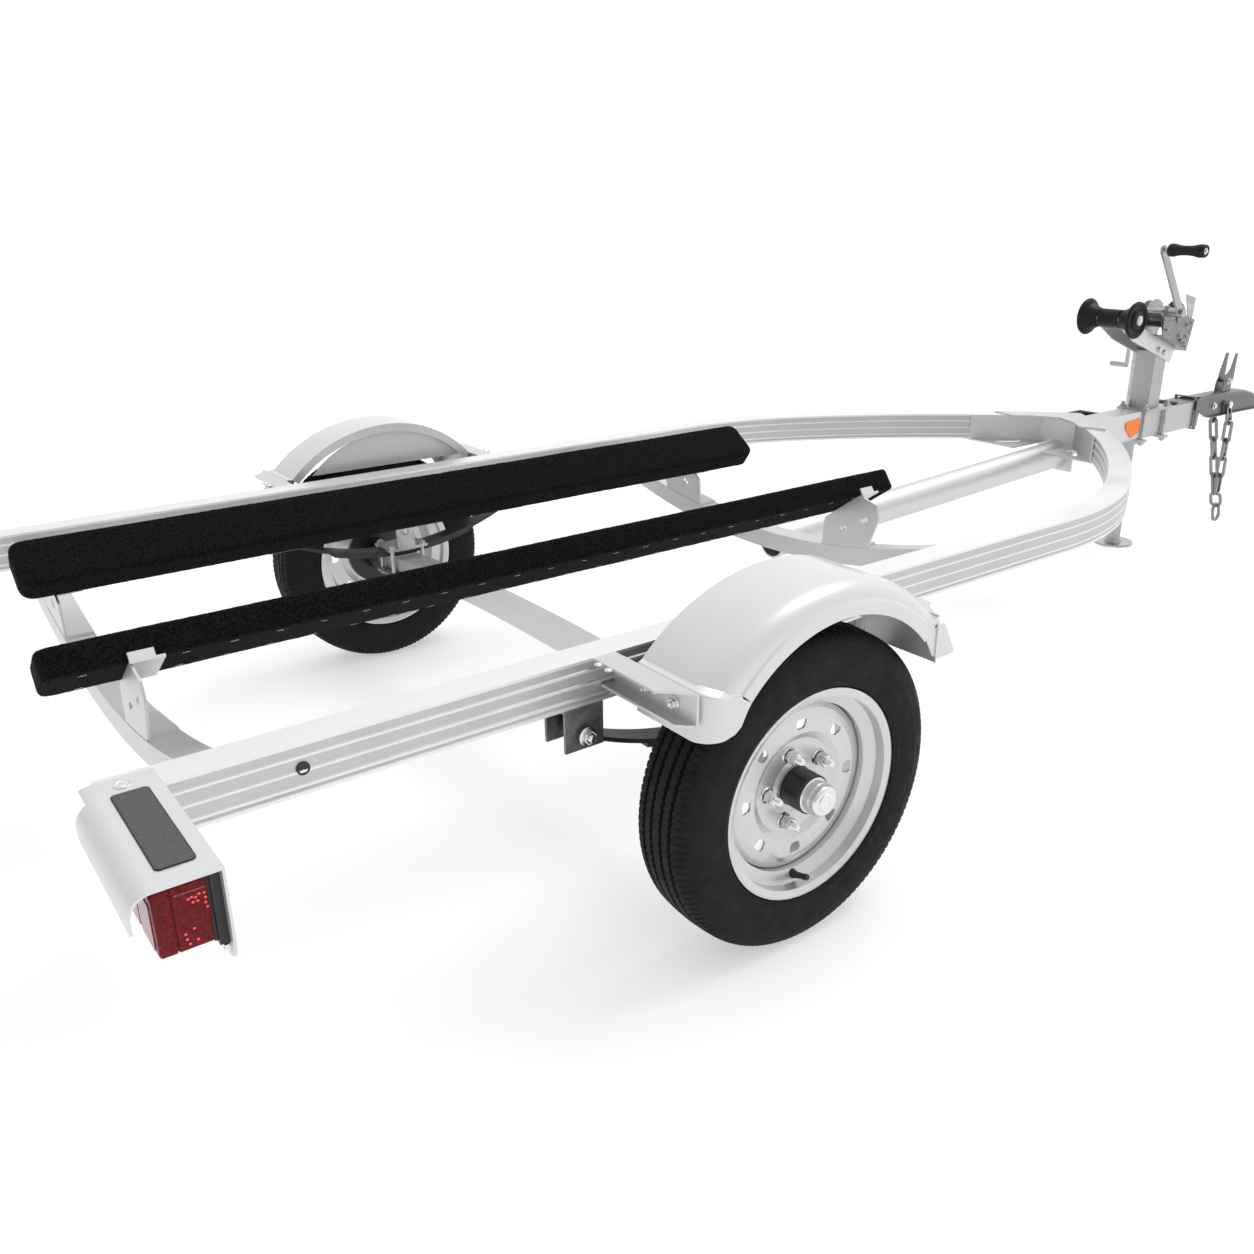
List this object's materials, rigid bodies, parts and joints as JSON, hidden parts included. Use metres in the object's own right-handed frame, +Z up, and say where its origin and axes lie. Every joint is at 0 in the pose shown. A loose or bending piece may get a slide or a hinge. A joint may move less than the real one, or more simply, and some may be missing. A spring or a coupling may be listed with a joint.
{
  "type": "boat trailer",
  "caption": "Single-axle aluminium boat trailer with curved ribbed side rails, carpeted bunks, fenders, winch post with bow roller, ball coupler and tongue jack.",
  "frame": {"origin": "on the ground, in the middle of the overall box", "axes": "+X forward towards the coupler, +Y to the trailer's left, +Z up"},
  "size_m": [3.8035, 1.634, 0.9463],
  "materials": {
    "rail": "brushed extrusion",
    "beam": "mill finish",
    "gusset": "satin",
    "bracket": "satin",
    "carpet": "black carpet over a board",
    "fender": "silver grey satin paint",
    "fender_arm": "satin",
    "guard": "satin",
    "lamp_base": "black moulded",
    "lens": "red moulded lens",
    "reflector": "amber reflex",
    "spring": "black painted spring steel",
    "zinc": "zinc plated",
    "coupler": "zinc plated pressing",
    "post": "mill finish",
    "winch": "zinc plated",
    "black_rubber": "black moulded",
    "tyre": "black rubber",
    "rim": "silver grey gloss paint",
    "hub": "black",
    "cap": "bright zinc"
  },
  "bodies": {
    "chassis": {"axle_beam": "beam", "bow_post": "post", "bunk_bracket_front_left": "bracket", "bunk_bracket_front_right": "bracket", "bunk_bracket_rear_left": "bracket", "bunk_bracket_rear_right": "bracket", "bunk_left": "carpet", "bunk_right": "carpet", "coupler": "coupler", "coupler_latch": "zinc", "crossmember_front": "beam", "crossmember_rear": "beam", "fender_arm_front_left": "fender_arm", "fender_arm_front_right": "fender_arm", "fender_arm_rear_left": "fender_arm", "fender_arm_rear_right": "fender_arm", "fender_left": "fender", "fender_right": "fender", "jack_handle": "zinc", "jack_tube": "zinc", "lamp_base_left": "lamp_base", "lamp_base_right": "lamp_base", "lamp_guard_left": "guard", "lamp_guard_right": "guard", "lamp_lens_left": "lens", "lamp_lens_right": "lens", "leaf_spring_left": "spring", "leaf_spring_right": "spring", "nose_gusset": "gusset", "post_ubolt_front": "zinc", "post_ubolt_rear": "zinc", "rail_left": "rail", "rail_right": "rail", "safety_chain": "zinc", "side_reflector_left": "reflector", "side_reflector_right": "reflector", "spring_clamp_left": "zinc", "spring_clamp_right": "zinc", "spring_hangers_left": "zinc", "spring_hangers_right": "zinc", "tongue_beam": "beam", "tongue_tube": "beam", "winch_arm": "post", "winch_frame": "winch"},
    "wheel_left": {"tyre_left": "tyre", "rim_left": "rim", "hub_left": "hub", "hub_cap_left": "cap"},
    "wheel_right": {"tyre_right": "tyre", "rim_right": "rim", "hub_right": "hub", "hub_cap_right": "cap"},
    "roller": {"bow_roller": "black_rubber"},
    "drum": {"winch_drum": "winch"},
    "crank": {"winch_crank": "winch", "crank_grip": "black_rubber"},
    "leg": {"jack_leg": "zinc"}
  },
  "joints": [
    {"name": "wheel_left_spin", "type": "hinge", "parent": "chassis", "child": "wheel_left", "pos_m": [-0.966, 0.724, 0.254], "axis": [0, 1, 0], "continuous": true},
    {"name": "wheel_right_spin", "type": "hinge", "parent": "chassis", "child": "wheel_right", "pos_m": [-0.966, -0.724, 0.254], "axis": [0, 1, 0], "continuous": true},
    {"name": "bow_roller_spin", "type": "hinge", "parent": "chassis", "child": "roller", "pos_m": [0.95992, 0, 0.7453], "axis": [0, 1, 0], "continuous": true},
    {"name": "winch_drum_spin", "type": "hinge", "parent": "chassis", "child": "drum", "pos_m": [1.20973, 0, 0.72993], "axis": [0, 1, 0], "continuous": true},
    {"name": "winch_crank_spin", "type": "hinge", "parent": "chassis", "child": "crank", "pos_m": [1.15237, 0, 0.75345], "axis": [0, 1, 0], "continuous": true},
    {"name": "jack_leg_slide", "type": "slide", "parent": "chassis", "child": "leg", "axis": [0, 0, 1], "range_m": [0, 0.2]}
  ],
  "couplings": [
    {"joint": "winch_crank_spin", "follows": "winch_drum_spin", "ratio": -2.875}
  ]
}
